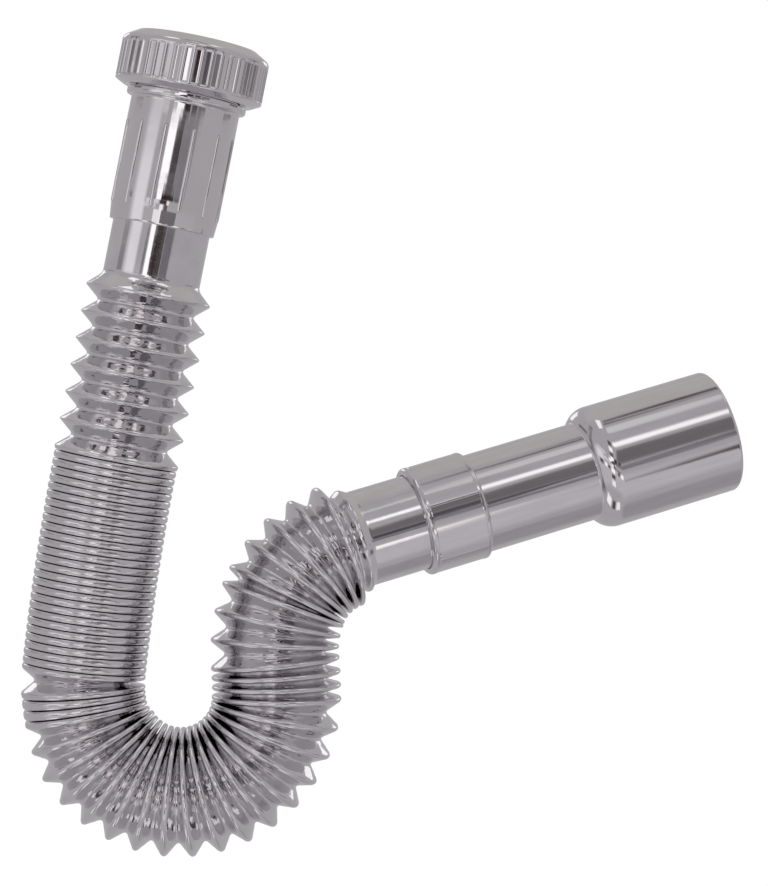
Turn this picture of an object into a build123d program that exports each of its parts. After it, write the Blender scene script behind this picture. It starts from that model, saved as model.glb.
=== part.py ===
import os
from collections import namedtuple

from build123d import *

# Flexible sink trap: a blown bellows hose bent to a water seal, with a screwed inlet
# at the top of the long leg and a stepped push-in spigot at the end of the short one.
# The origin is the centre of the inlet nut's mouth, +Z points up along the inlet axis,
# and the hose is bent in the XZ plane. Millimetres and degrees.

# Inlet nut
nut_height = 21.8
nut_wall = 6.6
nut_rim_land = 1.0
nut_bevel_height = 3.3
nut_foot_inset = 3.6
nut_chamfer_height = 1.9
nut_lip = 2.6
thread_reach = 2.1
thread_length = 13.0
thread_relief = 0.8
nut_shoulder_round = 1.5
nut_edge_round = 0.6
grip_count = 48
grip_width = 3.1
grip_depth = 0.45
grip_end_round = 0.8
grip_top_margin = 5.1
grip_bottom_margin = 2.4

# Sealing washer
washer_thickness = 2.6
washer_bore_gap = 0.8

# Inlet sleeve
flange_thickness = 2.6
sleeve_wall = 2.05
sleeve_neck_inset = 1.0
collar_reach = 2.2
collar_height = 3.1
collar_chamfer = 1.0
sleeve_length = 49.0
sleeve_barrel = 0.25
sleeve_foot_taper = 0.7
sleeve_foot_length = 8.0
sleeve_edge = 0.5
socket_ledge = 1.8
rib_count = 12
rib_first_angle = 19.3
rib_width = 1.8
rib_end_round = 0.85
rib_height = 0.55
rib_top_margin = 9.8
rib_bottom_margin = 6.0

# Bellows hose
cuff_radius = 19.2
fold_depth = 5.4
hose_wall = 0.9
neck_visible = 20.4
neck_inserted = 22.0
neck_flare = 6.5
cuff_ridge_height = 1.8
cuff_ridge_step = 3.2
cuff_ridge_turn = -5.7
cuff_ridge_lean = 2.0
cuff_visible = 23.0
cuff_inserted = 19.5

# Pitch of the folds along the centreline, drawn out or pressed together
open_pitch = 10.76
closed_pitch = 3.06
foot_pitch = 3.2
upper_gap_pitch = 7.26
lower_gap_pitch = 6.5
bend_pitch = 6.97
rise_pitch = 4.6
elbow_start_pitch = 7.75
elbow_pinch_pitch = 4.13
elbow_end_pitch = 7.1

# Each stretch of the bellows, from the inlet down: folds counted from crest to crest,
# their pitch, turn towards the outlet and lean to the rear over the stretch
Stretch = namedtuple("Stretch", "folds pitch turn lean")
open_leg = Stretch(6, open_pitch, 0.0, 0.0)
closed_leg = Stretch(28, closed_pitch, 5.0, 0.0)
upper_gap = Stretch(1, upper_gap_pitch, 9.0, 0.0)
closed_foot = Stretch(3, foot_pitch, 8.0, 0.0)
lower_gap = Stretch(1, lower_gap_pitch, 9.9, 0.0)
water_bend = Stretch(15, bend_pitch, 158.4, 0.0)
closed_rise = Stretch(3, rise_pitch, 6.0, 0.0)
elbow_start = Stretch(3, elbow_start_pitch, -25.0, 4.0)
elbow_pinch = Stretch(1, elbow_pinch_pitch, -6.2, 1.0)
elbow_end = Stretch(4, elbow_end_pitch, -42.0, 7.0)

# Outlet spigot
band_length = 25.0
band_wall = 2.35
band_corner_rise = 0.7
band_sides = 6
band_first_corner = -12.7
band_mouth_rim = 2.4
band_end_rim = 1.6
band_rim_rise = 0.15
band_shoulder = 1.2
band_step = 0.5
tube_length = 48.0
tube_reach = 0.8
tube_wall = 2.0
shoulder_length = 5.5
shoulder_height = 5.0
spigot_length = 54.5
spigot_wall = 1.8
spigot_rim = 0.9
shoulder_round = 3.0
shoulder_root_round = 2.0

# Clearances between pieces
socket_clearance = 0.15
socket_end_gap = 0.3
lip_clearance = 0.3
flange_clearance = 0.3
seat_gap = 0.2
collar_gap = 0.4

# Levels along the inlet axis
lip_top = -(nut_height - nut_lip)
flange_bottom = lip_top + seat_gap
flange_top = flange_bottom + flange_thickness
collar_top = -(nut_height + collar_gap)
sleeve_top = collar_top - collar_height
sleeve_bottom = sleeve_top - sleeve_length
neck_top = sleeve_bottom + neck_inserted
neck_bottom = sleeve_bottom - neck_visible

# Radii, all led from the hose's plain cuff
root_radius = cuff_radius
tip_radius = root_radius + fold_depth
socket_radius = cuff_radius + socket_clearance
sleeve_radius = socket_radius + sleeve_wall
sleeve_bore_radius = cuff_radius - socket_ledge
sleeve_neck_radius = sleeve_radius - sleeve_neck_inset
sleeve_foot_radius = sleeve_radius - sleeve_foot_taper
collar_radius = sleeve_radius + collar_reach
thread_radius = sleeve_neck_radius + thread_reach
flange_radius = thread_radius - flange_clearance
washer_bore_radius = sleeve_bore_radius + washer_bore_gap
nut_rim_radius = thread_radius + nut_rim_land
nut_radius = thread_radius + nut_wall
nut_foot_radius = nut_radius - nut_foot_inset
band_side_radius = socket_radius + band_wall
band_corner_radius = band_side_radius + band_corner_rise
tube_radius = cuff_radius + tube_reach
tube_bore_radius = tube_radius - tube_wall
spigot_radius = tube_radius + shoulder_height

Ring = namedtuple("Ring", "centre turn lean radius")


def turned(points, rounds=()):
    """A solid of revolution about Z from a closed outline of (radius, height) points.

    Each round is one of the points with the radius of its arc.
    """
    section = make_face(Polyline(*points, close=True))
    for corner, radius in rounds:
        section = fillet(section.vertices().sort_by_distance(corner)[0], radius)
    return revolve(Plane.XZ * section, Axis.Z)


def upright_bars(count, width, end_round, top, bottom, inner, outer, first_angle=0.0):
    """Upright bars with rounded ends, set evenly about Z, from one radius out to another."""
    face = RectangleRounded(width, top - bottom, end_round)
    bar = Pos(0, 0, (top + bottom) / 2) * extrude(Plane.YZ.offset(inner) * face, outer - inner)
    return [Rot(0, 0, first_angle + 360 / count * k) * bar for k in range(count)]


def coupling_nut():
    """Ring nut: bevelled mouth, fluted grip, and a lip that holds the sleeve's flange."""
    chamfer_top = nut_chamfer_height - nut_height
    lip_radius = sleeve_neck_radius + lip_clearance
    bevel_edge = (nut_radius, -nut_bevel_height)
    chamfer_edge = (nut_radius, chamfer_top)
    foot_edge = (nut_foot_radius, -nut_height)
    outline = [
        (thread_radius, 0),
        (nut_rim_radius, 0),
        bevel_edge,
        chamfer_edge,
        foot_edge,
        (lip_radius, -nut_height),
        (lip_radius, lip_top),
        (thread_radius + thread_relief, lip_top),
        (thread_radius + thread_relief, -thread_length),
        (thread_radius, -thread_length),
    ]
    rounds = [(bevel_edge, nut_shoulder_round), (chamfer_edge, nut_edge_round), (foot_edge, nut_edge_round)]
    flutes = upright_bars(
        grip_count,
        grip_width,
        grip_end_round,
        -grip_top_margin,
        grip_bottom_margin - nut_height,
        nut_radius - grip_depth,
        nut_radius + grip_depth,
    )
    return turned(outline, rounds) - flutes


def sealing_washer():
    """Flat rubber ring that lies on the sleeve's flange inside the nut."""
    washer_top = flange_top + washer_thickness
    outline = [
        (washer_bore_radius, flange_top),
        (flange_radius, flange_top),
        (flange_radius, washer_top),
        (washer_bore_radius, washer_top),
    ]
    return turned(outline)


def inlet_sleeve():
    """Moulded sleeve: flange inside the nut, collar below it, ribbed barrel, socket for the hose."""
    foot_top = sleeve_bottom + sleeve_foot_length
    socket_top = neck_top + socket_end_gap
    barrel_middle = (sleeve_top + foot_top) / 2
    barrel = ThreePointArc(
        (sleeve_radius, sleeve_top),
        (sleeve_radius + sleeve_barrel, barrel_middle),
        (sleeve_radius, foot_top),
    )
    foot = Polyline(
        (sleeve_radius, foot_top),
        (sleeve_foot_radius, sleeve_bottom + sleeve_edge),
        (sleeve_foot_radius - sleeve_edge, sleeve_bottom),
        (socket_radius, sleeve_bottom),
        (socket_radius, socket_top),
        (sleeve_bore_radius, socket_top),
        (sleeve_bore_radius, flange_top),
        (flange_radius, flange_top),
        (flange_radius, flange_bottom),
        (sleeve_neck_radius, flange_bottom),
        (sleeve_neck_radius, collar_top),
        (collar_radius - sleeve_edge, collar_top),
        (collar_radius, collar_top - sleeve_edge),
        (collar_radius, sleeve_top + collar_chamfer),
        (collar_radius - collar_chamfer, sleeve_top),
        (sleeve_radius, sleeve_top),
    )
    body = revolve(Plane.XZ * make_face(barrel + foot), Axis.Z)
    rib_top = sleeve_top - rib_top_margin
    rib_bottom = sleeve_bottom + rib_bottom_margin
    rib_root = (sleeve_radius + socket_radius) / 2
    ribs = upright_bars(
        rib_count,
        rib_width,
        rib_end_round,
        rib_top,
        rib_bottom,
        rib_root,
        sleeve_radius + sleeve_barrel + rib_height,
        rib_first_angle - 90,
    )
    return body + ribs


def heading(turn, lean):
    """Direction along the hose after turning from straight down towards +X and leaning to +Y."""
    return Vector(0, 0, -1).rotate(Axis.X, lean).rotate(Axis.Y, -turn)


def next_ring(ring, radius, distance, turn=0.0, lean=0.0):
    """The ring that follows: on by a distance, turning and leaning on the way."""
    halfway = heading(ring.turn + turn / 2, ring.lean + lean / 2)
    return Ring(ring.centre + halfway * distance, ring.turn + turn, ring.lean + lean, radius)


def hose_rings():
    """Circles that the hose's outer skin runs through, from the neck's end to the cuff's end."""
    neck_start = Ring(Vector(0, 0, neck_top), 0.0, 0.0, cuff_radius)
    neck_end = next_ring(neck_start, cuff_radius, neck_top - neck_bottom)
    rings = [neck_start, neck_end, next_ring(neck_end, tip_radius, neck_flare)]
    stretches = [
        open_leg, closed_leg, upper_gap, closed_foot, lower_gap,
        water_bend, closed_rise, elbow_start, elbow_pinch, elbow_end,
    ]
    for stretch in stretches:
        half_steps = 2 * stretch.folds
        half_turn = stretch.turn / half_steps
        half_lean = stretch.lean / half_steps
        for _ in range(stretch.folds):
            for radius in (root_radius, tip_radius):
                rings.append(next_ring(rings[-1], radius, stretch.pitch / 2, half_turn, half_lean))
    ridge_radii = [cuff_radius, cuff_radius + cuff_ridge_height, cuff_radius]
    step_turn = cuff_ridge_turn / len(ridge_radii)
    step_lean = cuff_ridge_lean / len(ridge_radii)
    for radius in ridge_radii:
        rings.append(next_ring(rings[-1], radius, cuff_ridge_step, step_turn, step_lean))
    rings.append(next_ring(rings[-1], cuff_radius, cuff_visible + cuff_inserted))
    return rings


def skin(rings, inset):
    """Straight-sided loft through the rings, each drawn in by the inset."""
    circles = []
    for ring in rings:
        plane = Plane(ring.centre, x_dir=(0, 1, 0), z_dir=heading(ring.turn, ring.lean))
        circles.append(Wire.make_circle(ring.radius - inset, plane))
    return Solid.make_loft(circles, ruled=True)


def bellows_hose(rings):
    """Thin-walled corrugated hose, folded alike inside and out, with a plain end each side."""
    return skin(rings, 0) - skin(rings, hose_wall)


def outlet_spigot():
    """Moulded outlet along +Z: socket band with six sides between rims, waste tube, wider spigot."""
    band_turn = 360 / band_sides
    tube_end = band_length + tube_length
    spigot_start = tube_end + shoulder_length
    spigot_end = spigot_start + spigot_length
    sides = []
    for k in range(band_sides):
        corner_angle = band_first_corner + band_turn * k
        sides.append(
            ThreePointArc(
                Vector(band_corner_radius, 0).rotate(Axis.Z, corner_angle),
                Vector(band_side_radius, 0).rotate(Axis.Z, corner_angle + band_turn / 2),
                Vector(band_corner_radius, 0).rotate(Axis.Z, corner_angle + band_turn),
            )
        )
    rim_radius = band_corner_radius + band_rim_rise
    end_rim_start = band_length - band_end_rim
    flats = Pos(0, 0, band_mouth_rim) * extrude(make_face(sides), end_rim_start - band_mouth_rim)
    mouth_rim = turned(
        [
            (0, 0),
            (rim_radius - band_shoulder, 0),
            (rim_radius, band_shoulder),
            (rim_radius, band_mouth_rim),
            (0, band_mouth_rim),
        ]
    )
    end_rim = turned(
        [
            (0, end_rim_start),
            (rim_radius, end_rim_start),
            (rim_radius, band_length - band_step),
            (rim_radius - band_step, band_length),
            (0, band_length),
        ]
    )
    shoulder_root = (tube_radius, tube_end)
    shoulder_edge = (spigot_radius, spigot_start)
    spigot_edge = (spigot_radius, spigot_end)
    tube = turned(
        [(0, 0), (tube_radius, 0), shoulder_root, shoulder_edge, spigot_edge, (0, spigot_end)],
        [(shoulder_root, shoulder_root_round), (shoulder_edge, shoulder_round), (spigot_edge, spigot_rim)],
    )
    waterway = turned(
        [
            (0, 0),
            (socket_radius, 0),
            (socket_radius, cuff_inserted + socket_end_gap),
            (tube_bore_radius, cuff_inserted + socket_end_gap),
            (tube_bore_radius, tube_end),
            (spigot_radius - spigot_wall, spigot_start),
            (spigot_radius - spigot_wall, spigot_end),
            (0, spigot_end),
        ]
    )
    return mouth_rim + flats + end_rim + tube - waterway


rings = hose_rings()
hose_end = rings[-1]
outlet_axis = heading(hose_end.turn, hose_end.lean)
outlet_plane = Plane(hose_end.centre - outlet_axis * cuff_inserted, x_dir=(0, -1, 0), z_dir=outlet_axis)

pieces = {
    "coupling_nut": coupling_nut(),
    "sealing_washer": sealing_washer(),
    "inlet_sleeve": inlet_sleeve(),
    "bellows_hose": bellows_hose(rings),
    "outlet_spigot": outlet_plane * outlet_spigot(),
}

os.makedirs("parts", exist_ok=True)
for name, piece in pieces.items():
    export_step(piece, f"parts/{name}.step")
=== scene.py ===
import math

import bmesh
import bpy
from mathutils import Matrix, Vector


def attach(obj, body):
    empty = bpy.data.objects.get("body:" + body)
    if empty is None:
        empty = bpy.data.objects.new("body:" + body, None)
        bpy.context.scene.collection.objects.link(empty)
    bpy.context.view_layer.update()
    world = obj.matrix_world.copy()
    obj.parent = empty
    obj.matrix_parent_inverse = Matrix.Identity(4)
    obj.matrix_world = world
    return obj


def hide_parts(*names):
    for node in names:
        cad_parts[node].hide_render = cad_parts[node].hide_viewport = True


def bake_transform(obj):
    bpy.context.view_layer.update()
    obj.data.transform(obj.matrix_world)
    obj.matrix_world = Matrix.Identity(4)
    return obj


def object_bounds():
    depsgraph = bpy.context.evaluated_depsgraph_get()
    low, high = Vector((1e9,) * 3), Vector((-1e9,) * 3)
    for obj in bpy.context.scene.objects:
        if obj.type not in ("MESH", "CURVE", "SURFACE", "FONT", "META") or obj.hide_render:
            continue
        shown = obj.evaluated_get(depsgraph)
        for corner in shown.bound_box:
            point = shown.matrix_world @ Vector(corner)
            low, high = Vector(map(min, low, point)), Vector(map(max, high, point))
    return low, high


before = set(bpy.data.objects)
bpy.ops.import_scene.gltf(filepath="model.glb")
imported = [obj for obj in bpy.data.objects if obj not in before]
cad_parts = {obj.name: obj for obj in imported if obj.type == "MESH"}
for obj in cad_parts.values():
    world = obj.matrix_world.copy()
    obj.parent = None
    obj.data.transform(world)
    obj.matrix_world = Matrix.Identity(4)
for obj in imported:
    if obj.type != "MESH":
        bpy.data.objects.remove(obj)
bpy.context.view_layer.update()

# Lengths in the settings are millimetres and angles are degrees. The origin is the
# centre of the nut's mouth, +Z runs up the inlet axis and the hose bends in the XZ plane.
mm = 0.001


# Closed outline of (radius, height) points with an arc at each corner that has a rounding
def roundedOutline(corners, arcSteps):
    outline = []
    for place, (radius, height, rounding) in enumerate(corners):
        corner = Vector((radius, height))
        if rounding == 0:
            outline.append(corner)
            continue
        before = (Vector(corners[place - 1][:2]) - corner).normalized()
        after = (Vector(corners[(place + 1) % len(corners)][:2]) - corner).normalized()
        halfAngle = before.angle(after) / 2
        centre = corner + (before + after).normalized() * (rounding / math.sin(halfAngle))
        reach = rounding / math.tan(halfAngle)
        first = (corner + before * reach - centre).normalized()
        last = (corner + after * reach - centre).normalized()
        for step in range(arcSteps + 1):
            outline.append(centre + first.slerp(last, step / arcSteps) * rounding)
    return outline


# Adds a ring close to each end of a long straight stretch, so that its shading stays straight
def supported(outline, gap=0.4, shortest=1.6):
    points = []
    for place, point in enumerate(outline):
        points.append(point)
        span = outline[(place + 1) % len(outline)] - point
        if span.length > shortest:
            points.append(point + span.normalized() * gap)
            points.append(point + span - span.normalized() * gap)
    return points


def evenAngles(count):
    return [2 * math.pi * place / count for place in range(count)]


def plainRadius(angle, radius, height):
    return radius


def latheMesh(name, corners, angles, radiusAt=plainRadius, placing=Matrix(), arcSteps=6):
    outline = supported(roundedOutline(corners, arcSteps))
    vertices = []
    for radius, height in outline:
        for angle in angles:
            reach = radiusAt(angle, radius, height)
            point = Vector((reach * math.cos(angle), reach * math.sin(angle), height)) * mm
            vertices.append(placing @ point)
    count = len(angles)
    faces = []
    for ring in range(len(outline)):
        above = (ring + 1) % len(outline)
        for place in range(count):
            beside = (place + 1) % count
            faces.append((
                ring * count + place, ring * count + beside,
                above * count + beside, above * count + place,
            ))
    mesh = bpy.data.meshes.new(name)
    mesh.from_pydata(vertices, [], faces)
    return mesh


def addPiece(name, mesh, material, sharpAngle=30):
    shape = bmesh.new()
    shape.from_mesh(mesh)
    bmesh.ops.recalc_face_normals(shape, faces=shape.faces)
    shape.to_mesh(mesh)
    shape.free()
    mesh.shade_smooth()
    mesh.set_sharp_from_angle(angle=math.radians(sharpAngle))
    mesh.materials.clear()
    mesh.materials.append(material)
    piece = bpy.data.objects.new(name, mesh)
    bpy.context.scene.collection.objects.link(piece)
    return piece


def newTree(name, inputs):
    tree = bpy.data.node_groups.new(name, "GeometryNodeTree")
    tree.interface.new_socket("Geometry", in_out="INPUT", socket_type="NodeSocketGeometry")
    for label, kind in inputs.items():
        tree.interface.new_socket(label, in_out="INPUT", socket_type=kind)
    tree.interface.new_socket("Geometry", in_out="OUTPUT", socket_type="NodeSocketGeometry")
    return tree


def addNode(tree, kind, links=None, **settings):
    node = tree.nodes.new(kind)
    for setting, value in settings.items():
        setattr(node, setting, value)
    for label, value in (links or {}).items():
        socket = node.inputs[label]
        if isinstance(value, bpy.types.NodeSocket):
            tree.links.new(value, socket)
        else:
            socket.default_value = value
    return node


def closeTree(tree, geometry, material):
    realized = addNode(tree, "GeometryNodeRealizeInstances", {"Geometry": geometry})
    coloured = addNode(
        tree, "GeometryNodeSetMaterial", {"Geometry": realized.outputs[0], "Material": material}
    )
    addNode(tree, "NodeGroupOutput", {"Geometry": coloured.outputs[0]})


def grownMesh(name, baseMesh, tree, values):
    holder = bpy.data.objects.new(name + "Base", baseMesh)
    bpy.context.scene.collection.objects.link(holder)
    modifier = holder.modifiers.new(tree.name, "NODES")
    modifier.node_group = tree
    for item in tree.interface.items_tree:
        if item.in_out == "INPUT" and item.name in values:
            modifier[item.identifier] = values[item.name]
    evaluated = holder.evaluated_get(bpy.context.evaluated_depsgraph_get())
    mesh = bpy.data.meshes.new_from_object(evaluated)
    mesh.name = name
    holder.modifiers.remove(modifier)
    bpy.data.objects.remove(holder)
    return mesh


def surfaceTree(name):
    material = bpy.data.materials.new(name)
    material.use_nodes = True
    tree = material.node_tree
    shader = tree.nodes["Principled BSDF"]
    coordinates = tree.nodes.new("ShaderNodeTexCoord").outputs["Object"]
    return material, tree, shader, coordinates


noiseDetail = {"tone": 4.0, "wave": 2.0, "speck": 3.0}


def platedMaterial(name, settings):
    material, tree, shader, coordinates = surfaceTree(name)
    stretched = addNode(tree, "ShaderNodeMapping", {
        "Vector": coordinates, "Scale": settings["grain"], "Rotation": settings["grainTurn"],
    }, vector_type="TEXTURE")
    tone = addNode(
        tree, "ShaderNodeTexNoise",
        {"Vector": stretched.outputs[0], "Scale": settings["toneScale"], "Detail": noiseDetail["tone"]},
    )
    mixed = addNode(tree, "ShaderNodeMix", {"Factor": tone.outputs["Fac"]}, data_type="RGBA")
    mixed.inputs["A"].default_value = settings["darkTone"]
    mixed.inputs["B"].default_value = settings["lightTone"]
    tree.links.new(mixed.outputs["Result"], shader.inputs["Base Color"])
    sheen = addNode(
        tree, "ShaderNodeMapRange",
        {"Value": tone.outputs["Fac"], "To Min": settings["smoothest"], "To Max": settings["roughest"]},
    )
    tree.links.new(sheen.outputs[0], shader.inputs["Roughness"])
    wave = addNode(
        tree, "ShaderNodeTexNoise",
        {"Vector": stretched.outputs[0], "Scale": settings["waveScale"], "Detail": noiseDetail["wave"]},
    )
    bump = addNode(
        tree, "ShaderNodeBump",
        {"Height": wave.outputs["Fac"], "Strength": 1.0, "Distance": settings["waveDepth"] * mm},
    )
    if "waveAttribute" in settings:
        waviness = addNode(tree, "ShaderNodeAttribute", attribute_name=settings["waveAttribute"])
        depth = addNode(
            tree, "ShaderNodeMath",
            {0: waviness.outputs["Fac"], 1: settings["waveDepth"] * mm}, operation="MULTIPLY",
        )
        tree.links.new(depth.outputs[0], bump.inputs["Distance"])
    tree.links.new(bump.outputs[0], shader.inputs["Normal"])
    shader.inputs["Metallic"].default_value = 1.0
    return material


brightPlating = platedMaterial("platedBright", {
    "grain": (1, 1, 1), "grainTurn": (0, 0, 0),
    "darkTone": (0.66, 0.637, 0.655, 1), "lightTone": (0.73, 0.707, 0.725, 1), "toneScale": 90,
    "smoothest": 0.02, "roughest": 0.07, "waveScale": 100, "waveDepth": 0.03,
})
hosePlating = platedMaterial("platedHose", {
    "grain": (1, 1, 1), "grainTurn": (0, 0, 0),
    "darkTone": (0.61, 0.593, 0.613, 1), "lightTone": (0.76, 0.74, 0.762, 1), "toneScale": 120,
    "smoothest": 0.03, "roughest": 0.10, "waveScale": 180, "waveDepth": 0.24, "waveAttribute": "waviness",
})

print("materials made")

# Coupling nut: bevelled mouth, flat flutes with round ends, inside thread
nut = {
    "height": 21.8, "radius": 29.1, "rimRadius": 23.5, "bevelHeight": 3.3, "shoulderRound": 2.4,
    "footRadius": 25.5, "chamferHeight": 1.9, "lip": 2.6, "lipRadius": 20.7, "threadRoot": 23.0,
    "edgeRound": 0.3, "chamferRound": 0.6, "mouthRound": 0.2, "gripMargin": 0.07,
    "flutes": 48, "fluteWidth": 3.4, "fluteDepth": 0.5, "fluteEdge": 0.7, "edgeSteps": 6, "fluteEnd": 0.8,
    "fluteTop": -5.1, "fluteBottom": -19.4, "fluteSteps": 8,
}


def flutedRadius(angle, radius, height):
    if radius < nut["radius"] - nut["gripMargin"]:
        return radius
    pitch = 2 * math.pi / nut["flutes"]
    offset = (angle + pitch / 2) % pitch - pitch / 2
    rounding = nut["fluteEnd"]
    middle = (nut["fluteTop"] + nut["fluteBottom"]) / 2
    across = abs(offset * radius) - nut["fluteWidth"] / 2 + rounding
    along = abs(height - middle) - (nut["fluteTop"] - nut["fluteBottom"]) / 2 + rounding
    outside = math.hypot(max(across, 0), max(along, 0)) + min(max(across, along), 0) - rounding
    share = min(max(-outside / nut["fluteEdge"], 0), 1)
    share = share * share * (3 - 2 * share)
    flat = (radius - nut["fluteDepth"]) / math.cos(offset)
    return radius + (flat - radius) * share


def nutAngles():
    halfPitch = math.pi / nut["flutes"]
    halfFlute = nut["fluteWidth"] / 2 / nut["radius"]
    edge = nut["fluteEdge"] / nut["radius"]
    half = [(halfFlute - edge) / 2]
    half += [halfFlute - edge * (1 - step / nut["edgeSteps"]) for step in range(nut["edgeSteps"] + 1)]
    offsets = [-offset for offset in reversed(half)] + [0] + half + [halfPitch]
    return [2 * halfPitch * flute + offset for flute in range(nut["flutes"]) for offset in offsets]


def nutCorners():
    reach = nut["fluteEnd"] + nut["fluteEdge"]
    heights = []
    for start, end in (
        (nut["fluteTop"], nut["fluteTop"] - reach),
        (nut["fluteBottom"] + reach, nut["fluteBottom"]),
    ):
        for step in range(nut["fluteSteps"] + 1):
            heights.append(start + (end - start) * step / nut["fluteSteps"])
    chamferTop = nut["chamferHeight"] - nut["height"]
    lipTop = nut["lip"] - nut["height"]
    corners = [
        (nut["threadRoot"], 0, nut["mouthRound"]),
        (nut["rimRadius"], 0, nut["mouthRound"]),
        (nut["radius"], -nut["bevelHeight"], nut["shoulderRound"]),
    ]
    corners += [(nut["radius"], height, 0) for height in heights]
    corners += [
        (nut["radius"], chamferTop, nut["chamferRound"]),
        (nut["footRadius"], -nut["height"], nut["chamferRound"]),
        (nut["lipRadius"], -nut["height"], nut["edgeRound"]),
        (nut["lipRadius"], lipTop, nut["edgeRound"]),
        (nut["threadRoot"], lipTop, nut["edgeRound"]),
    ]
    return corners


nutPiece = addPiece("nut", latheMesh("nut", nutCorners(), nutAngles(), flutedRadius), brightPlating)
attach(nutPiece, "nut")
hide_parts("coupling_nut")
print("nut made", len(nutPiece.data.polygons))

thread = {"crest": 22.5, "root": 23.05, "pitch": 2.31, "turns": 5, "top": -0.8, "stepsPerTurn": 96}


def threadTree(material):
    tree = newTree("threadHelix", {
        "Radius": "NodeSocketFloat", "Turns": "NodeSocketFloat", "Length": "NodeSocketFloat",
        "Steps": "NodeSocketInt", "Ridge": "NodeSocketFloat", "Top": "NodeSocketFloat",
    })
    given = tree.nodes.new("NodeGroupInput")
    helix = addNode(tree, "GeometryNodeCurveSpiral", {
        "Resolution": given.outputs["Steps"], "Rotations": given.outputs["Turns"],
        "Start Radius": given.outputs["Radius"], "End Radius": given.outputs["Radius"],
        "Height": given.outputs["Length"],
    })
    ridge = addNode(tree, "GeometryNodeCurvePrimitiveCircle", {
        "Resolution": 4, "Radius": given.outputs["Ridge"],
    })
    swept = addNode(tree, "GeometryNodeCurveToMesh", {
        "Curve": helix.outputs[0], "Profile Curve": ridge.outputs[0], "Fill Caps": True,
    })
    drop = addNode(tree, "ShaderNodeMath", {0: given.outputs["Top"], 1: given.outputs["Length"]},
                   operation="SUBTRACT")
    offset = addNode(tree, "ShaderNodeCombineXYZ", {"Z": drop.outputs[0]})
    placed = addNode(tree, "GeometryNodeTransform", {
        "Geometry": swept.outputs[0], "Translation": offset.outputs[0],
    })
    closeTree(tree, placed.outputs[0], material)
    return tree


threadMesh = grownMesh("nutThread", bpy.data.meshes.new("threadSeed"), threadTree(brightPlating), {
    "Radius": thread["root"] * mm, "Turns": float(thread["turns"]),
    "Length": thread["turns"] * thread["pitch"] * mm, "Steps": thread["stepsPerTurn"],
    "Ridge": (thread["root"] - thread["crest"]) * mm, "Top": thread["top"] * mm,
})
threadPiece = addPiece("nutThread", threadMesh, brightPlating)
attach(threadPiece, "nut")
print("thread made", len(threadPiece.data.polygons))

# Inlet sleeve: flange inside the nut, collar, barrel with twelve upright ribs, socket
sleeve = {
    "flangeTop": -16.4, "flangeBottom": -19.0, "flangeRadius": 22.2, "boreRadius": 17.4,
    "neckRadius": 20.4, "collarTop": -22.2, "collarBottom": -25.3, "collarRadius": 23.6,
    "collarEdge": 0.5, "collarRound": 1.1, "collarRoot": 0.9,
    "radius": 21.45, "barrel": 0.05, "barrelSteps": 10,
    "footTop": -66.3, "footRadius": 20.7, "footEasing": 60, "bottom": -74.3,
    "socketRadius": 19.35, "socketTop": -52.0, "edge": 0.45, "segments": 192,
}


def sleeveCorners():
    barrel = []
    for step in range(1, sleeve["barrelSteps"]):
        share = step / sleeve["barrelSteps"]
        height = sleeve["collarBottom"] + (sleeve["footTop"] - sleeve["collarBottom"]) * share
        barrel.append((sleeve["radius"] + sleeve["barrel"] * 4 * share * (1 - share), height, 0))
    edge = sleeve["edge"]
    corners = [
        (sleeve["boreRadius"], sleeve["flangeTop"], edge),
        (sleeve["flangeRadius"], sleeve["flangeTop"], edge),
        (sleeve["flangeRadius"], sleeve["flangeBottom"], edge),
        (sleeve["neckRadius"], sleeve["flangeBottom"], 0),
        (sleeve["neckRadius"], sleeve["collarTop"], 0),
        (sleeve["collarRadius"], sleeve["collarTop"], sleeve["collarEdge"]),
        (sleeve["collarRadius"], sleeve["collarBottom"], sleeve["collarRound"]),
        (sleeve["radius"], sleeve["collarBottom"], sleeve["collarRoot"]),
    ]
    corners += barrel
    corners += [
        (sleeve["radius"], sleeve["footTop"], sleeve["footEasing"]),
        (sleeve["footRadius"], sleeve["bottom"], edge),
        (sleeve["socketRadius"], sleeve["bottom"], edge / 2),
        (sleeve["socketRadius"], sleeve["socketTop"], 0),
        (sleeve["boreRadius"], sleeve["socketTop"], edge),
    ]
    return corners


sleevePiece = addPiece(
    "sleeve", latheMesh("sleeve", sleeveCorners(), evenAngles(sleeve["segments"])), brightPlating
)
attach(sleevePiece, "inlet")
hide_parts("inlet_sleeve")
print("sleeve made", len(sleevePiece.data.polygons))

ribs = {
    "count": 12, "firstAngle": 19.3, "width": 1.8, "top": -35.1, "bottom": -68.3,
    "root": 20.4, "base": 21.2, "crest": 22.15, "crestWidth": 0.05, "rings": 8, "steps": 10,
}


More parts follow.
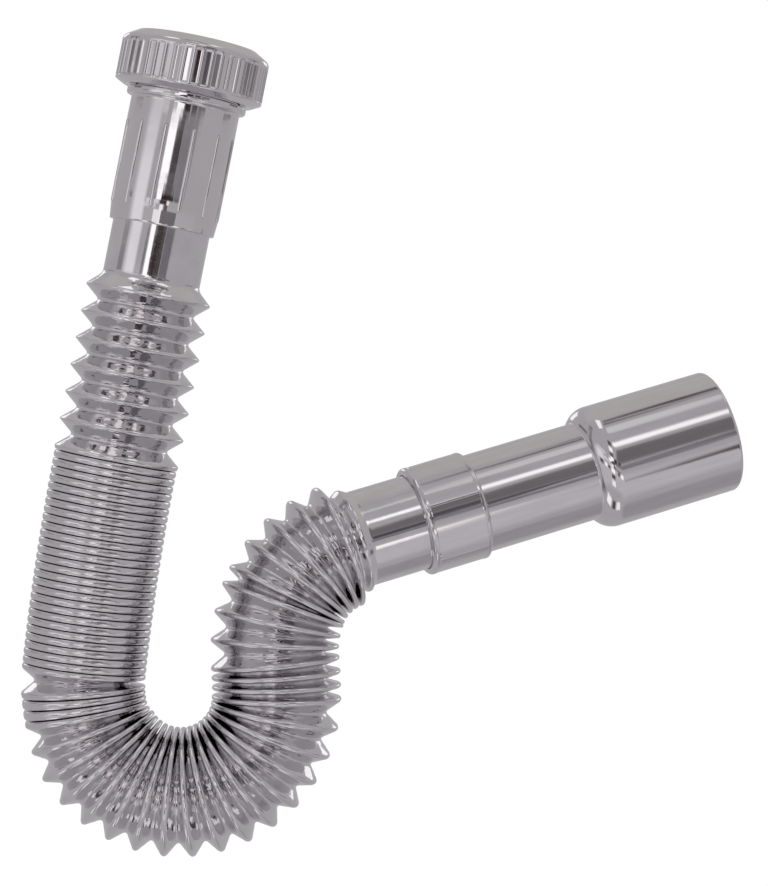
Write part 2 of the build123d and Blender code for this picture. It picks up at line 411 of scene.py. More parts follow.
def ribSeed():
    halfWidth = ribs["width"] / 2
    halfLength = (ribs["top"] - ribs["bottom"]) / 2 - halfWidth
    middle = (ribs["top"] + ribs["bottom"]) / 2
    rise = ribs["crest"] - ribs["base"]
    turn = Matrix.Rotation(math.radians(ribs["firstAngle"] - 90), 3, "Z")
    shape = bmesh.new()
    rows = []
    for ring in range(ribs["rings"] + 1):
        slope = ring / ribs["rings"] * math.pi / 2
        reach = max(halfWidth * math.cos(slope), ribs["crestWidth"] / 2)
        outward = ribs["base"] + rise * math.sin(slope) if ring else ribs["root"]
        row = []
        for end in (1, -1):
            for step in range(ribs["steps"] + 1):
                angle = end * math.pi / 2 - math.pi / 2 + math.pi * step / ribs["steps"]
                across = reach * math.cos(angle)
                along = middle + end * halfLength + reach * math.sin(angle)
                row.append(shape.verts.new(turn @ Vector((outward, across, along)) * mm))
        rows.append(row)
    for lower, upper in zip(rows, rows[1:]):
        for place in range(len(lower)):
            beside = (place + 1) % len(lower)
            shape.faces.new((lower[place], lower[beside], upper[beside], upper[place]))
    shape.faces.new(rows[-1])
    shape.faces.new(list(reversed(rows[0])))
    mesh = bpy.data.meshes.new("ribSeed")
    shape.to_mesh(mesh)
    shape.free()
    return mesh


def ringTree(material):
    tree = newTree("ribRing", {"Count": "NodeSocketInt"})
    given = tree.nodes.new("NodeGroupInput")
    places = addNode(tree, "GeometryNodePoints", {"Count": given.outputs["Count"]})
    share = addNode(tree, "ShaderNodeMath", {
        0: tree.nodes.new("GeometryNodeInputIndex").outputs[0], 1: given.outputs["Count"],
    }, operation="DIVIDE")
    turn = addNode(tree, "ShaderNodeMath", {0: share.outputs[0], 1: 2 * math.pi}, operation="MULTIPLY")
    spin = addNode(tree, "ShaderNodeCombineXYZ", {"Z": turn.outputs[0]})
    instances = addNode(tree, "GeometryNodeInstanceOnPoints", {
        "Points": places.outputs[0], "Instance": given.outputs["Geometry"], "Rotation": spin.outputs[0],
    })
    closeTree(tree, instances.outputs[0], material)
    return tree


ribMesh = grownMesh("sleeveRibs", ribSeed(), ringTree(brightPlating), {"Count": ribs["count"]})
ribPiece = addPiece("sleeveRibs", ribMesh, brightPlating, sharpAngle=50)
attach(ribPiece, "inlet")
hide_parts("inlet_sleeve")
print("ribs made", len(ribPiece.data.polygons))

# Sealing washer: the solid itself in dark rubber
rubber = {
    "dark": (0.018, 0.018, 0.019, 1), "light": (0.035, 0.034, 0.033, 1),
    "speckScale": 900, "speckDepth": 0.05, "roughness": 0.62,
}


def rubberMaterial(name, settings):
    material, tree, shader, coordinates = surfaceTree(name)
    speck = addNode(
        tree, "ShaderNodeTexNoise",
        {"Vector": coordinates, "Scale": settings["speckScale"], "Detail": noiseDetail["speck"]},
    )
    mixed = addNode(tree, "ShaderNodeMix", {"Factor": speck.outputs["Fac"]}, data_type="RGBA")
    mixed.inputs["A"].default_value = settings["dark"]
    mixed.inputs["B"].default_value = settings["light"]
    tree.links.new(mixed.outputs["Result"], shader.inputs["Base Color"])
    bump = addNode(
        tree, "ShaderNodeBump",
        {"Height": speck.outputs["Fac"], "Distance": settings["speckDepth"] * mm},
    )
    tree.links.new(bump.outputs[0], shader.inputs["Normal"])
    shader.inputs["Roughness"].default_value = settings["roughness"]
    return material


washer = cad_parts["sealing_washer"]
washer.data.materials.clear()
washer.data.materials.append(rubberMaterial("washerRubber", rubber))
print("washer coloured")

# Bellows hose: the stretches in order from the inlet, each with its folds, pitch, turn
# towards the outlet and lean to the rear. An open fold has the width of its round crest and the
# share of its flank that eases into the root, a closed one a plate: the share of the half pitch
# that it fills, and the bulge of its rim
hose = {
    "root": 19.2, "tip": 24.6, "wall": 0.9, "neckTop": -52.3, "neckBottom": -94.7, "sides": 72,
    "capSteps": 3, "flankSteps": 6, "flankGrading": 1.5, "plateSteps": 5,
    "endStep": 1.0, "sewDistance": 0.001,
    "cuffLength": 42.5, "cuffInserted": 19.5, "ridge": 1.8, "plainWaviness": 0.06,
    "neckFlare": {"folds": 0.5, "pitch": 13.0, "turn": 0, "lean": 0, "crest": 1.0, "easing": 0.4},
    "cuffRidge": {"folds": 1.5, "pitch": 6.4, "turn": -5.7, "lean": 2, "crest": 1.4, "easing": 0.35},
    "stretches": [
        {"folds": 6, "pitch": 10.76, "turn": 0, "lean": 0, "crest": 1.0, "easing": 0.2},
        {"folds": 28, "pitch": 3.06, "turn": 5, "lean": 0, "plate": 0.9, "bulge": 0.14, "tip": 24.35},
        {"folds": 1, "pitch": 7.26, "turn": 9, "lean": 0, "crest": 1.6, "easing": 0.3, "tip": 24.4},
        {"folds": 3, "pitch": 3.2, "turn": 8, "lean": 0, "plate": 0.88, "bulge": 0.16, "tip": 24.3},
        {"folds": 1, "pitch": 6.5, "turn": 9.9, "lean": 0, "crest": 1.6, "easing": 0.3, "tip": 24.7},
        {"folds": 15, "pitch": 6.97, "turn": 158.4, "lean": 0, "crest": 2.1, "easing": 0.3,
         "tip": 25.5, "root": 20.0},
        {"folds": 3, "pitch": 4.6, "turn": 6, "lean": 0, "crest": 1.8, "easing": 0.3,
         "tip": 25.4, "root": 20.0},
        {"folds": 3, "pitch": 7.75, "turn": -25, "lean": 4, "crest": 1.8, "easing": 0.3,
         "tip": 25.3, "root": 19.8},
        {"folds": 1, "pitch": 4.13, "turn": -6.2, "lean": 1, "crest": 1.8, "easing": 0.3,
         "tip": 25.2, "root": 19.8},
        {"folds": 4, "pitch": 7.1, "turn": -42, "lean": 7, "crest": 2.0, "easing": 0.3,
         "tip": 25.1, "root": 19.8},
    ],
    "splitStretch": 2, "slideStretches": (0, 1), "swingStretch": 6,
}


def heading(turn, lean):
    direction = Matrix.Rotation(math.radians(lean), 3, "X") @ Vector((0, 0, -1))
    return Matrix.Rotation(math.radians(-turn), 3, "Y") @ direction


# Marks of half a fold from crest to root: distance along the hose, fall from the crest and
# share of the half fold's turn. A round crest does not turn, so it keeps its width inside a bend
def closedMarks(stretch, drop):
    half = stretch["pitch"] / 2
    plate = stretch["plate"]
    rim = stretch["bulge"] * drop
    marks = []
    for step in range(hose["plateSteps"] + 1):
        angle = math.pi / 2 * step / hose["plateSteps"]
        marks.append((half * plate * math.sin(angle), rim * (1 - math.cos(angle)), plate * math.sin(angle)))
    marks.append((half, drop, 1))
    return marks


def openMarks(stretch, drop):
    half = stretch["pitch"] / 2
    cap = stretch["crest"] / 2
    slope = math.atan2(drop, half)
    capRadius = cap / math.sin(slope)
    marks = []
    for step in range(hose["capSteps"] + 1):
        angle = slope * step / hose["capSteps"]
        marks.append((capRadius * math.sin(angle), capRadius * (1 - math.cos(angle)), 0))
    capFall = marks[-1][1]
    easing = stretch["easing"]
    rate = 1 / (1 - easing / 2)
    for step in range(1, hose["flankSteps"] + 1):
        place = 1 - (1 - step / hose["flankSteps"]) ** hose["flankGrading"]
        share = rate * place
        if place > 1 - easing:
            share = 1 - rate * (1 - place) ** 2 / (2 * easing)
        marks.append((cap + (half - cap) * place, capFall + (drop - capFall) * share, place))
    return marks


# Walks down the hose's centreline and notes each ring it passes
class HoseWalk:
    def __init__(self, centre):
        self.centre = centre
        self.turn = 0
        self.lean = 0
        self.rings = []
        self.stretchEnds = []

    def note(self, radius, waviness):
        self.rings.append((self.centre.copy(), radius, waviness))

    def step(self, distance, radius, turn=0, lean=0, waviness=hose["plainWaviness"]):
        self.centre += heading(self.turn + turn / 2, self.lean + lean / 2) * distance
        self.turn += turn
        self.lean += lean
        self.note(radius, waviness)

    def halfFold(self, stretch, startRadius, endRadius):
        drop = abs(endRadius - startRadius)
        marks = closedMarks(stretch, drop) if "plate" in stretch else openMarks(stretch, drop)
        if startRadius < endRadius:
            half = marks[-1][0]
            marks = [(half - distance, fall, 1 - share) for distance, fall, share in reversed(marks)]
        crest = max(startRadius, endRadius)
        halves = 2 * stretch["folds"]
        for before, mark in zip(marks, marks[1:]):
            part = (mark[2] - before[2]) / halves
            self.step(
                mark[0] - before[0], crest - mark[1], stretch["turn"] * part, stretch["lean"] * part, 1,
            )


def hoseRings():
    root = hose["root"]
    crest = hose["tip"]
    walk = HoseWalk(Vector((0, 0, hose["neckTop"])))
    walk.note(root, hose["plainWaviness"])
    neckLength = hose["neckTop"] - hose["neckBottom"]
    walk.step(neckLength - hose["endStep"], root)
    walk.step(hose["endStep"], root)
    walk.halfFold(hose["neckFlare"], root, crest)
    splitPlace = 0
    for place, stretch in enumerate(hose["stretches"]):
        valley = stretch.get("root", root)
        for fold in range(stretch["folds"]):
            walk.halfFold(stretch, crest, valley)
            crest = stretch.get("tip", hose["tip"])
            if place == hose["splitStretch"]:
                splitPlace = len(walk.rings)
            walk.halfFold(stretch, valley, crest)
        walk.stretchEnds.append(walk.centre.copy())
    ridge = root + hose["ridge"]
    walk.halfFold(hose["cuffRidge"], crest, root)
    walk.halfFold(hose["cuffRidge"], root, ridge)
    walk.halfFold(hose["cuffRidge"], ridge, root)
    walk.stretchEnds.append(walk.centre.copy())
    walk.step(hose["endStep"], root)
    walk.step(hose["cuffLength"] - hose["endStep"], root)
    return walk, splitPlace


def hoseSeed(rings):
    mesh = bpy.data.meshes.new("hoseSeed")
    points = [centre * mm for centre, radius, waviness in rings]
    mesh.from_pydata(points, [(place, place + 1) for place in range(len(points) - 1)], [])
    radii = mesh.attributes.new("ringRadius", "FLOAT", "POINT")
    waves = mesh.attributes.new("waviness", "FLOAT", "POINT")
    for place, (centre, radius, waviness) in enumerate(rings):
        radii.data[place].value = radius * mm
        waves.data[place].value = waviness
    return mesh


def hoseTree(material):
    tree = newTree("bellowsSkin", {"Sides": "NodeSocketInt", "Wall": "NodeSocketFloat"})
    given = tree.nodes.new("NodeGroupInput")
    path = addNode(tree, "GeometryNodeMeshToCurve", {"Mesh": given.outputs["Geometry"]})
    radius = addNode(tree, "GeometryNodeInputNamedAttribute", {"Name": "ringRadius"}, data_type="FLOAT")
    circle = addNode(tree, "GeometryNodeCurvePrimitiveCircle", {
        "Resolution": given.outputs["Sides"], "Radius": 1.0,
    })
    ends = tree.nodes.new("GeometryNodeCurveEndpointSelection")
    wallHere = addNode(tree, "GeometryNodeSwitch", {
        "Switch": ends.outputs[0], "False": given.outputs["Wall"], "True": 0.0,
    }, input_type="FLOAT")
    inner = addNode(tree, "ShaderNodeMath", {
        0: radius.outputs["Attribute"], 1: wallHere.outputs[0],
    }, operation="SUBTRACT")
    skins = []
    for reach in (radius.outputs["Attribute"], inner.outputs[0]):
        sized = addNode(tree, "GeometryNodeSetCurveRadius", {"Curve": path.outputs[0], "Radius": reach})
        swept = addNode(tree, "GeometryNodeCurveToMesh", {
            "Curve": sized.outputs[0], "Profile Curve": circle.outputs[0],
        })
        if "Scale" in swept.inputs:
            tree.links.new(tree.nodes.new("GeometryNodeInputRadius").outputs[0], swept.inputs["Scale"])
        skins.append(swept.outputs[0])
    turned = addNode(tree, "GeometryNodeFlipFaces", {"Mesh": skins[1]})
    joined = tree.nodes.new("GeometryNodeJoinGeometry")
    tree.links.new(skins[0], joined.inputs[0])
    tree.links.new(turned.outputs[0], joined.inputs[0])
    sewn = addNode(tree, "GeometryNodeMergeByDistance", {
        "Geometry": joined.outputs[0], "Distance": hose["sewDistance"] * mm,
    })
    closeTree(tree, sewn.outputs[0], material)
    return tree


hoseWalk, splitPlace = hoseRings()
bellowsSkin = hoseTree(hosePlating)
hoseHalves = {"hoseUpper": hoseWalk.rings[:splitPlace], "hoseLower": hoseWalk.rings[splitPlace - 1:]}
hosePieces = {}
for name, rings in hoseHalves.items():
    hoseMesh = grownMesh(name, hoseSeed(rings), bellowsSkin, {
        "Sides": hose["sides"], "Wall": hose["wall"] * mm,
    })
    hosePieces[name] = addPiece(name, hoseMesh, hosePlating, sharpAngle=60)
    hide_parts("bellows_hose")
    print(name, "made", len(hoseMesh.polygons))

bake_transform(hosePieces["hoseUpper"])
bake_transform(hosePieces["hoseLower"])

# Outlet: socket band with six bulged sides between two round rims, waste tube and wider
# stepped spigot, along its own axis
spigot = {
    "bandLength": 25.0, "bandCorner": 22.4, "bandSide": 21.7, "bandSides": 6, "firstCorner": -12.7,
    "rimStart": 2.2, "rimEnd": 23.2, "rimRadius": 21.95, "rimEdge": 0.3, "groove": 0.14, "grooveHalf": 0.9,
    "bandShoulder": 1.5, "bandStep": 1.2, "tubeLength": 48.0, "tubeRadius": 20.0, "boreRadius": 18.0,
    "shoulderLength": 5.5, "endLength": 54.5, "endRadius": 25.0, "wall": 1.8, "rim": 1.4,
    "shoulderReach": 8.0, "shoulderRoot": 0.5, "shoulderSteps": 10,
    "socketRadius": 19.35, "socketDepth": 19.8, "edge": 0.3, "segments": 180, "arcSteps": 10,
}


def sideOffset(angle):
    side = 2 * math.pi / spigot["bandSides"]
    return (angle - math.radians(spigot["firstCorner"])) % side - side / 2


def bandRadius(angle):
    halfSide = math.pi / spigot["bandSides"]
    cornerX = spigot["bandCorner"] * math.cos(halfSide)
    cornerY = spigot["bandCorner"] * math.sin(halfSide)
    side = spigot["bandSide"]
    middle = (side ** 2 - cornerX ** 2 - cornerY ** 2) / (2 * (side - cornerX))
    bulge = side - middle
    offset = sideOffset(angle)
    radius = middle * math.cos(offset) + math.sqrt(bulge ** 2 - (middle * math.sin(offset)) ** 2)
    fromCorner = math.degrees(halfSide - abs(offset))
    return radius - spigot["groove"] * max(0, 1 - fromCorner / spigot["grooveHalf"])


def spigotRadius(angle, radius, height):
    if not spigot["rimStart"] < height < spigot["rimEnd"] or radius < spigot["bandSide"]:
        return radius
    inward = min(height - spigot["rimStart"], spigot["rimEnd"] - height) / spigot["rimEdge"]
    return radius + (bandRadius(angle) - radius) * min(1, inward)


# Convex shoulder: an arc from the tube's end that runs out along the wider end
def shoulderPoints(tubeEnd):
    rise = spigot["endRadius"] - spigot["tubeRadius"]
    reach = spigot["shoulderReach"]
    arc = (reach ** 2 + rise ** 2) / (2 * rise)
    start = math.asin(reach / arc)
    points = []
    for step in range(1, spigot["shoulderSteps"] + 1):
        angle = start * (1 - step / spigot["shoulderSteps"])
        height = tubeEnd + reach - arc * math.sin(angle)
        points.append((spigot["endRadius"] - arc * (1 - math.cos(angle)), height, 0))
    return points


def spigotCorners():
    tubeEnd = spigot["bandLength"] + spigot["tubeLength"]
    endStart = tubeEnd + spigot["shoulderLength"]
    endTop = endStart + spigot["endLength"]
    edge = spigot["edge"]
    inside = spigot["endRadius"] - spigot["wall"]
    band = spigot["rimRadius"]
    corners = [
        (spigot["socketRadius"], 0, edge),
        (band, 0, spigot["bandShoulder"]),
        (band, spigot["rimStart"], 0),
        (band, spigot["rimStart"] + spigot["rimEdge"], 0),
        (band, spigot["rimEnd"] - spigot["rimEdge"], 0),
        (band, spigot["rimEnd"], 0),
        (band, spigot["bandLength"], spigot["bandStep"]),
        (spigot["tubeRadius"], spigot["bandLength"], edge),
        (spigot["tubeRadius"], tubeEnd, spigot["shoulderRoot"]),
    ]
    corners += shoulderPoints(tubeEnd)
    corners += [
        (spigot["endRadius"], endTop, spigot["rim"]),
        (inside, endTop, edge),
        (inside, endStart, edge),
        (spigot["boreRadius"], tubeEnd, edge),
        (spigot["boreRadius"], spigot["socketDepth"], edge),
        (spigot["socketRadius"], spigot["socketDepth"], 0),
    ]
    return corners


def spigotAngles():
    first = math.radians(spigot["firstCorner"])
    half = math.radians(spigot["grooveHalf"])
    angles = [first + angle for angle in evenAngles(spigot["segments"])]
    for corner in evenAngles(spigot["bandSides"]):
        angles += [first + corner - half, first + corner + half]
    return sorted(angles)


def outletPlacing():
    axis = heading(hoseWalk.turn, hoseWalk.lean)
    start = hoseWalk.centre - axis * hose["cuffInserted"]
    across = Vector((0, -1, 0))
    across = (across - axis * across.dot(axis)).normalized()
    beside = axis.cross(across)
    turned = Matrix((across, beside, axis)).transposed().to_4x4()
    return Matrix.Translation(start * mm) @ turned


satinPlating = platedMaterial("platedSatin", {
    "grain": (1, 1, 9), "grainTurn": outletPlacing().to_euler(),
    "darkTone": (0.62, 0.597, 0.618, 1), "lightTone": (0.74, 0.716, 0.738, 1), "toneScale": 420,
    "smoothest": 0.05, "roughest": 0.13, "waveScale": 300, "waveDepth": 0.02,
})
spigotPiece = addPiece(
    "spigot",
    latheMesh(
        "spigot", spigotCorners(), spigotAngles(), spigotRadius, outletPlacing(), spigot["arcSteps"]
    ),
    satinPlating, sharpAngle=11,
)
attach(spigotPiece, "outlet")
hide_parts("outlet_spigot")
print("spigot made", len(spigotPiece.data.polygons))

# Studio: pale floor below the fully drawn bellows, soft lamps, a world of pale walls with panels
studio = {
    "floorGap": 204.0, "floorSize": 6000.0, "floorColour": (0.95, 0.95, 0.95, 1),
    "floorGlow": 0.92, "floorStrength": 1.02, "wall": (0.49, 0.478, 0.494, 1), "fill": 0.75,
}


def floorMaterial():
    material, tree, shader, coordinates = surfaceTree("floorPale")
    tree.nodes.remove(shader)
    matt = addNode(tree, "ShaderNodeBsdfDiffuse", {"Color": studio["floorColour"]})
    glow = addNode(tree, "ShaderNodeEmission", {"Color": (1, 1, 1, 1), "Strength": studio["floorStrength"]})
    seen = tree.nodes.new("ShaderNodeLightPath").outputs["Is Camera Ray"]
    share = addNode(tree, "ShaderNodeMath", {0: seen, 1: studio["floorGlow"]}, operation="MULTIPLY")
    mixed = addNode(tree, "ShaderNodeMixShader", {
        0: share.outputs[0], 1: matt.outputs[0], 2: glow.outputs[0],
    })
    tree.links.new(mixed.outputs[0], tree.nodes["Material Output"].inputs["Surface"])
    return material


lowest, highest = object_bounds()
floorMesh = bpy.data.meshes.new("floor")
reach = studio["floorSize"] * mm / 2
floorLevel = lowest[2] - studio["floorGap"] * mm
floorCorners = [(-reach, -reach, floorLevel), (reach, -reach, floorLevel),
                (reach, reach, floorLevel), (-reach, reach, floorLevel)]
floorMesh.from_pydata(floorCorners, [], [(0, 1, 2, 3)])
floorMesh.materials.append(floorMaterial())
floor = bpy.data.objects.new("floor", floorMesh)
bpy.context.scene.collection.objects.link(floor)
floor.visible_glossy = False

lamps = {
    "topLamp": {"place": (100, -500, 1300), "size": 1200, "power": 26},
    "leftLamp": {"place": (-1200, -900, 300), "size": 900, "power": 14},
    "rightLamp": {"place": (1400, -800, 200), "size": 900, "power": 10},
}
objectMiddle = (Vector(lowest) + Vector(highest)) / 2
for name, lamp in lamps.items():
    light = bpy.data.lights.new(name, "AREA")
    light.energy = lamp["power"]
    light.size = lamp["size"] * mm
    holder = bpy.data.objects.new(name, light)
    holder.location = Vector(lamp["place"]) * mm
    holder.rotation_euler = (objectMiddle - holder.location).to_track_quat("-Z", "Y").to_euler()
    holder.visible_glossy = False
    bpy.context.scene.collection.objects.link(holder)

# Panels of the world as the metal sees them: ranges of the direction's parts, each part
# left out being free and a bound past 1 being open, and the colour there. A later panel
# covers an earlier one
panels = [
    # Broad tones
    {"y": (-2, -0.25), "z": (-0.75, -0.15), "soft": 0.12, "colour": (0.62, 0.605, 0.625, 1)},
    {"z": (-2, -0.8), "soft": 0.12, "colour": (0.5, 0.488, 0.505, 1)},
    {"y": (0.1, 2), "z": (0.6, 2), "soft": 0.1, "colour": (0.54, 0.525, 0.51, 1)},
    # Lights and darks among the folds
    {"x": (-0.6, -0.35), "y": (0.35, 2), "z": (0.12, 0.36), "colour": (1.25, 1.25, 1.25, 1)},
    {"x": (0.35, 0.6), "y": (0.35, 2), "z": (0.12, 0.36), "colour": (1.25, 1.25, 1.25, 1)},
    {"x": (-0.5, -0.28), "y": (-0.3, 0.08), "z": (0.8, 2), "colour": (1.25, 1.25, 1.25, 1)},
    {"x": (0.2, 0.36), "y": (-0.3, 0.08), "z": (0.86, 2), "colour": (1.1, 1.1, 1.1, 1)},
    {"x": (-0.17, 0.12), "y": (-0.01, 0.09), "z": (0.9, 2), "colour": (0.12, 0.1, 0.1, 1)},
    {"x": (-0.48, -0.22), "y": (-0.25, 0.07), "z": (-2, -0.85), "colour": (1.25, 1.25, 1.25, 1)},
    {"x": (0.14, 0.36), "y": (-0.25, 0.07), "z": (-2, -0.85), "colour": (1.15, 1.15, 1.15, 1)},
    {"x": (-0.12, 0.06), "y": (-0.25, 0.07), "z": (-2, -0.9), "colour": (0.1, 0.08, 0.08, 1)},
    {"x": (-0.2, 0.04), "y": (-2, 0), "z": (0.22, 0.34), "colour": (0.08, 0.06, 0.06, 1)},
    {"x": (-0.2, 0.04), "y": (-2, 0), "z": (0.39, 0.53), "colour": (1.4, 1.35, 1.3, 1)},
    {"x": (-0.2, 0.0), "y": (-2, 0), "z": (0.58, 0.7), "colour": (0.1, 0.08, 0.08, 1)},
    {"x": (-0.2, 0.06), "y": (-2, 0), "z": (-0.34, -0.2), "colour": (1.4, 1.35, 1.3, 1)},
    {"x": (-0.2, 0.06), "y": (-2, 0), "z": (-0.52, -0.4), "colour": (0.08, 0.06, 0.06, 1)},
    {"x": (-0.2, 0.06), "y": (-2, 0), "z": (-0.72, -0.58), "colour": (1.2, 1.2, 1.2, 1)},
    {"x": (0.28, 0.42), "y": (-2, 0.2), "z": (-0.3, -0.18), "colour": (0.08, 0.06, 0.06, 1)},
    {"x": (0.48, 0.62), "y": (-2, 0.2), "z": (-0.3, -0.18), "colour": (1.4, 1.35, 1.3, 1)},
    {"x": (0.7, 0.84), "y": (-2, 0.2), "z": (-0.3, -0.18), "colour": (0.1, 0.08, 0.08, 1)},
    {"x": (-0.42, -0.28), "y": (-2, 0.2), "z": (-0.3, -0.18), "colour": (0.08, 0.06, 0.06, 1)},
    {"x": (-0.62, -0.48), "y": (-2, 0.2), "z": (-0.3, -0.18), "colour": (1.4, 1.35, 1.3, 1)},
    {"x": (-0.84, -0.7), "y": (-2, 0.2), "z": (-0.3, -0.18), "colour": (0.1, 0.08, 0.08, 1)},
    # Straight leg of the hose
    {"x": (-0.9, -0.28), "y": (-2, 0), "z": (-0.1, -0.045), "soft": 0.02, "colour": (0.8, 0.78, 0.81, 1)},
    {"x": (-0.14, -0.02), "y": (-2, 0), "z": (-0.19, -0.04), "colour": (1.3, 1.2, 1.15, 1)},
    {"x": (0.02, 0.14), "y": (-2, 0), "z": (-0.19, -0.04), "colour": (0.14, 0.12, 0.12, 1)},
    {"x": (-0.62, -0.2), "y": (-2, 0), "z": (-0.045, 0.012), "soft": 0.01, "colour": (0.86, 0.84, 0.87, 1)},
    {"x": (-0.15, 0.08), "y": (-2, 0), "z": (-0.045, 0.012), "soft": 0.01, "colour": (0.07, 0.05, 0.05, 1)},
    {"x": (0.1, 0.18), "y": (-2, 0), "z": (-0.045, 0.012), "soft": 0.01, "colour": (1.1, 1.1, 1.1, 1)},
    {"x": (-0.93, -0.66), "y": (-2, 0), "z": (-0.18, 0.09), "soft": 0.05, "colour": (0.95, 0.93, 0.96, 1)},
    # Neck, sleeve and the foot of the leg
    {"x": (-2, -0.965), "y": (-2, 0), "z": (0.0, 0.043), "soft": 0.003, "colour": (0.3, 0.29, 0.3, 1)},
    {"x": (-0.44, -0.35), "y": (-2, 0), "z": (0.012, 0.043), "soft": 0.01, "colour": (0.2, 0.19, 0.2, 1)},
    {"x": (-0.31, -0.14), "y": (-2, 0), "z": (0.012, 0.05), "soft": 0.005, "colour": (1.5, 1.5, 1.5, 1)},
    {"x": (-0.33, -0.06), "y": (-2, 0), "z": (0.05, 0.09), "soft": 0.012, "colour": (1.5, 1.5, 1.5, 1)},
    {"x": (-0.13, 0.3), "y": (-2, 0), "z": (0.012, 0.05), "soft": 0.008, "colour": (0.035, 0.02, 0.018, 1)},
    {"x": (0.32, 0.6), "y": (-2, 0), "z": (0.012, 0.05), "soft": 0.02, "colour": (0.15, 0.14, 0.155, 1)},
    {"x": (-0.03, 0.2), "y": (-2, 0), "z": (0.05, 0.09), "soft": 0.015, "colour": (0.08, 0.07, 0.07, 1)},
    {"x": (0.2, 0.64), "y": (-2, 0), "z": (0.05, 0.09), "soft": 0.03, "colour": (0.22, 0.21, 0.225, 1)},
    {"x": (-0.33, -0.09), "y": (-2, 0), "z": (-0.165, -0.118), "soft": 0.005, "colour": (1.1, 1.1, 1.1, 1)},
    {"x": (-0.05, 0.5), "y": (-2, 0), "z": (-0.165, -0.118), "soft": 0.01, "colour": (0.2, 0.19, 0.2, 1)},
    # Nut
    {"y": (0.1, 0.5), "z": (0.0905, 0.2), "soft": 0.003, "colour": (0.2, 0.19, 0.2, 1)},
    {"x": (-0.86, -0.48), "y": (-2, 0), "z": (0.0905, 0.2), "soft": 0.003, "colour": (0.75, 0.735, 0.755, 1)},
    {"x": (-0.2, 0.04), "y": (-2, 0), "z": (0.0905, 0.2), "soft": 0.003, "colour": (1.4, 1.4, 1.4, 1)},
    {"x": (0.08, 0.28), "y": (-2, 0), "z": (0.0905, 0.2), "soft": 0.003, "colour": (0.04, 0.022, 0.02, 1)},
    {"x": (0.33, 0.5), "y": (-2, 0), "z": (0.0905, 0.2), "soft": 0.003, "colour": (0.1, 0.09, 0.1, 1)},
    {"x": (0.54, 0.74), "y": (-2, 0), "z": (0.0905, 0.2), "soft": 0.003, "colour": (0.2, 0.19, 0.2, 1)},
    # Outlet
    {"x": (0.27, 0.56), "y": (-2, -0.72), "z": (0.2, 0.55), "soft": 0.04, "colour": (0.19, 0.18, 0.19, 1)},
    {"x": (0.09, 0.27), "y": (-0.78, -0.6), "z": (0.635, 0.735), "soft": 0.03, "colour": (1.4, 1.4, 1.4, 1)},
    {"x": (-0.11, 0.03), "y": (-0.43, -0.22), "z": (0.88, 2), "soft": 0.03, "colour": (0.75, 0.75, 0.75, 1)},
    {"x": (-0.19, -0.1), "y": (-0.12, -0.05), "z": (0.95, 2), "colour": (0.18, 0.17, 0.18, 1)},
    {"x": (0.45, 0.75), "y": (0, 2), "z": (-0.85, -0.55), "soft": 0.08, "colour": (0.38, 0.37, 0.385, 1)},
]
panelSoft = 0.02


def panelMask(tree, direction, panel):
    mask = None
    soft = panel.get("soft", panelSoft)
    for part in ("x", "y", "z"):
        if part not in panel:
            continue
        low, high = panel[part]
        for edge, start, end in ((low, 0.0, 1.0), (high, 1.0, 0.0)):
            if abs(edge) > 1:
                continue
            ramp = addNode(tree, "ShaderNodeMapRange", {
                "Value": direction.outputs[part.upper()],
                "From Min": edge - soft, "From Max": edge + soft,
                "To Min": start, "To Max": end,
            }, interpolation_type="SMOOTHSTEP").outputs[0]
            if mask is None:
                mask = ramp
            else:
                mask = addNode(tree, "ShaderNodeMath", {0: mask, 1: ramp}, operation="MULTIPLY").outputs[0]
    return mask


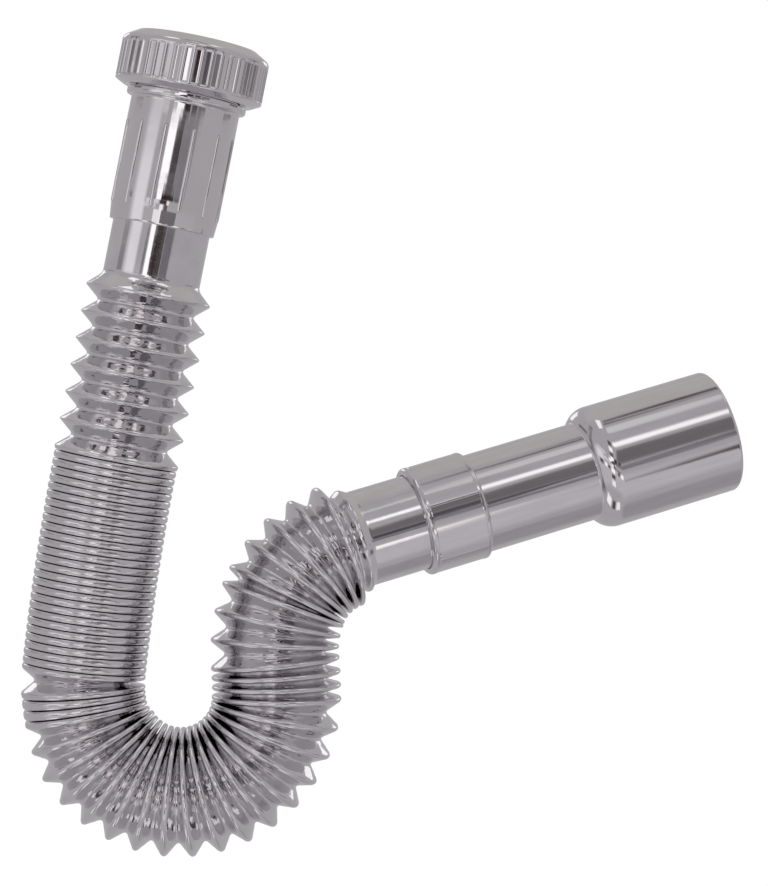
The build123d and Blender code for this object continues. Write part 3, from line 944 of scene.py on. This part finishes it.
def studioWorld():
    world = bpy.data.worlds.new("studio")
    bpy.context.scene.world = world
    world.use_nodes = True
    tree = world.node_tree
    background = tree.nodes["Background"]
    direction = addNode(tree, "ShaderNodeSeparateXYZ", {
        0: tree.nodes.new("ShaderNodeTexCoord").outputs["Generated"],
    })
    walls = addNode(tree, "ShaderNodeRGB")
    walls.outputs[0].default_value = studio["wall"]
    seen = walls.outputs[0]
    for panel in panels:
        layer = addNode(tree, "ShaderNodeMix", {
            "Factor": panelMask(tree, direction, panel),
        }, data_type="RGBA", clamp_result=False)
        tree.links.new(seen, layer.inputs["A"])
        layer.inputs["B"].default_value = panel["colour"]
        seen = layer.outputs["Result"]
    path = tree.nodes.new("ShaderNodeLightPath")
    shiny = addNode(tree, "ShaderNodeMix", {"Factor": path.outputs["Is Glossy Ray"]}, data_type="RGBA")
    shiny.inputs["A"].default_value = (studio["fill"], studio["fill"], studio["fill"], 1)
    tree.links.new(seen, shiny.inputs["B"])
    clear = addNode(tree, "ShaderNodeMath", {
        0: path.outputs["Is Camera Ray"], 1: path.outputs["Is Transmission Ray"],
    }, operation="MAXIMUM")
    final = addNode(tree, "ShaderNodeMix", {"Factor": clear.outputs[0]}, data_type="RGBA")
    tree.links.new(shiny.outputs["Result"], final.inputs["A"])
    final.inputs["B"].default_value = (1, 1, 1, 1)
    tree.links.new(final.outputs["Result"], background.inputs["Color"])


studioWorld()
print("studio made")

cameraView = {
    "target": (102.1, 0.0, -140.2), "distance": 1150.0, "farthest": 20000.0,
    "roll": 11.2, "elevation": 0.8, "lens": 118.9,
}


def placeCamera():
    roll = math.radians(cameraView["roll"])
    tilt = math.radians(cameraView["elevation"])
    right = Vector((math.cos(roll), 0, math.sin(roll)))
    upright = Vector((-math.sin(roll), 0, math.cos(roll)))
    inward = Vector((0, 1, 0))
    forward = inward * math.cos(tilt) - upright * math.sin(tilt)
    above = upright * math.cos(tilt) + inward * math.sin(tilt)
    place = Vector(cameraView["target"]) - forward * cameraView["distance"]
    lens = bpy.data.cameras.new("photoCamera")
    lens.lens = cameraView["lens"]
    lens.clip_end = cameraView["farthest"] * mm
    camera = bpy.data.objects.new("photoCamera", lens)
    facing = Matrix((right, above, -forward)).transposed().to_4x4()
    camera.matrix_world = Matrix.Translation(place * mm) @ facing
    bpy.context.scene.collection.objects.link(camera)
    bpy.context.scene.camera = camera


placeCamera()
bpy.context.scene.view_settings.view_transform = "Standard"
print("camera placed")
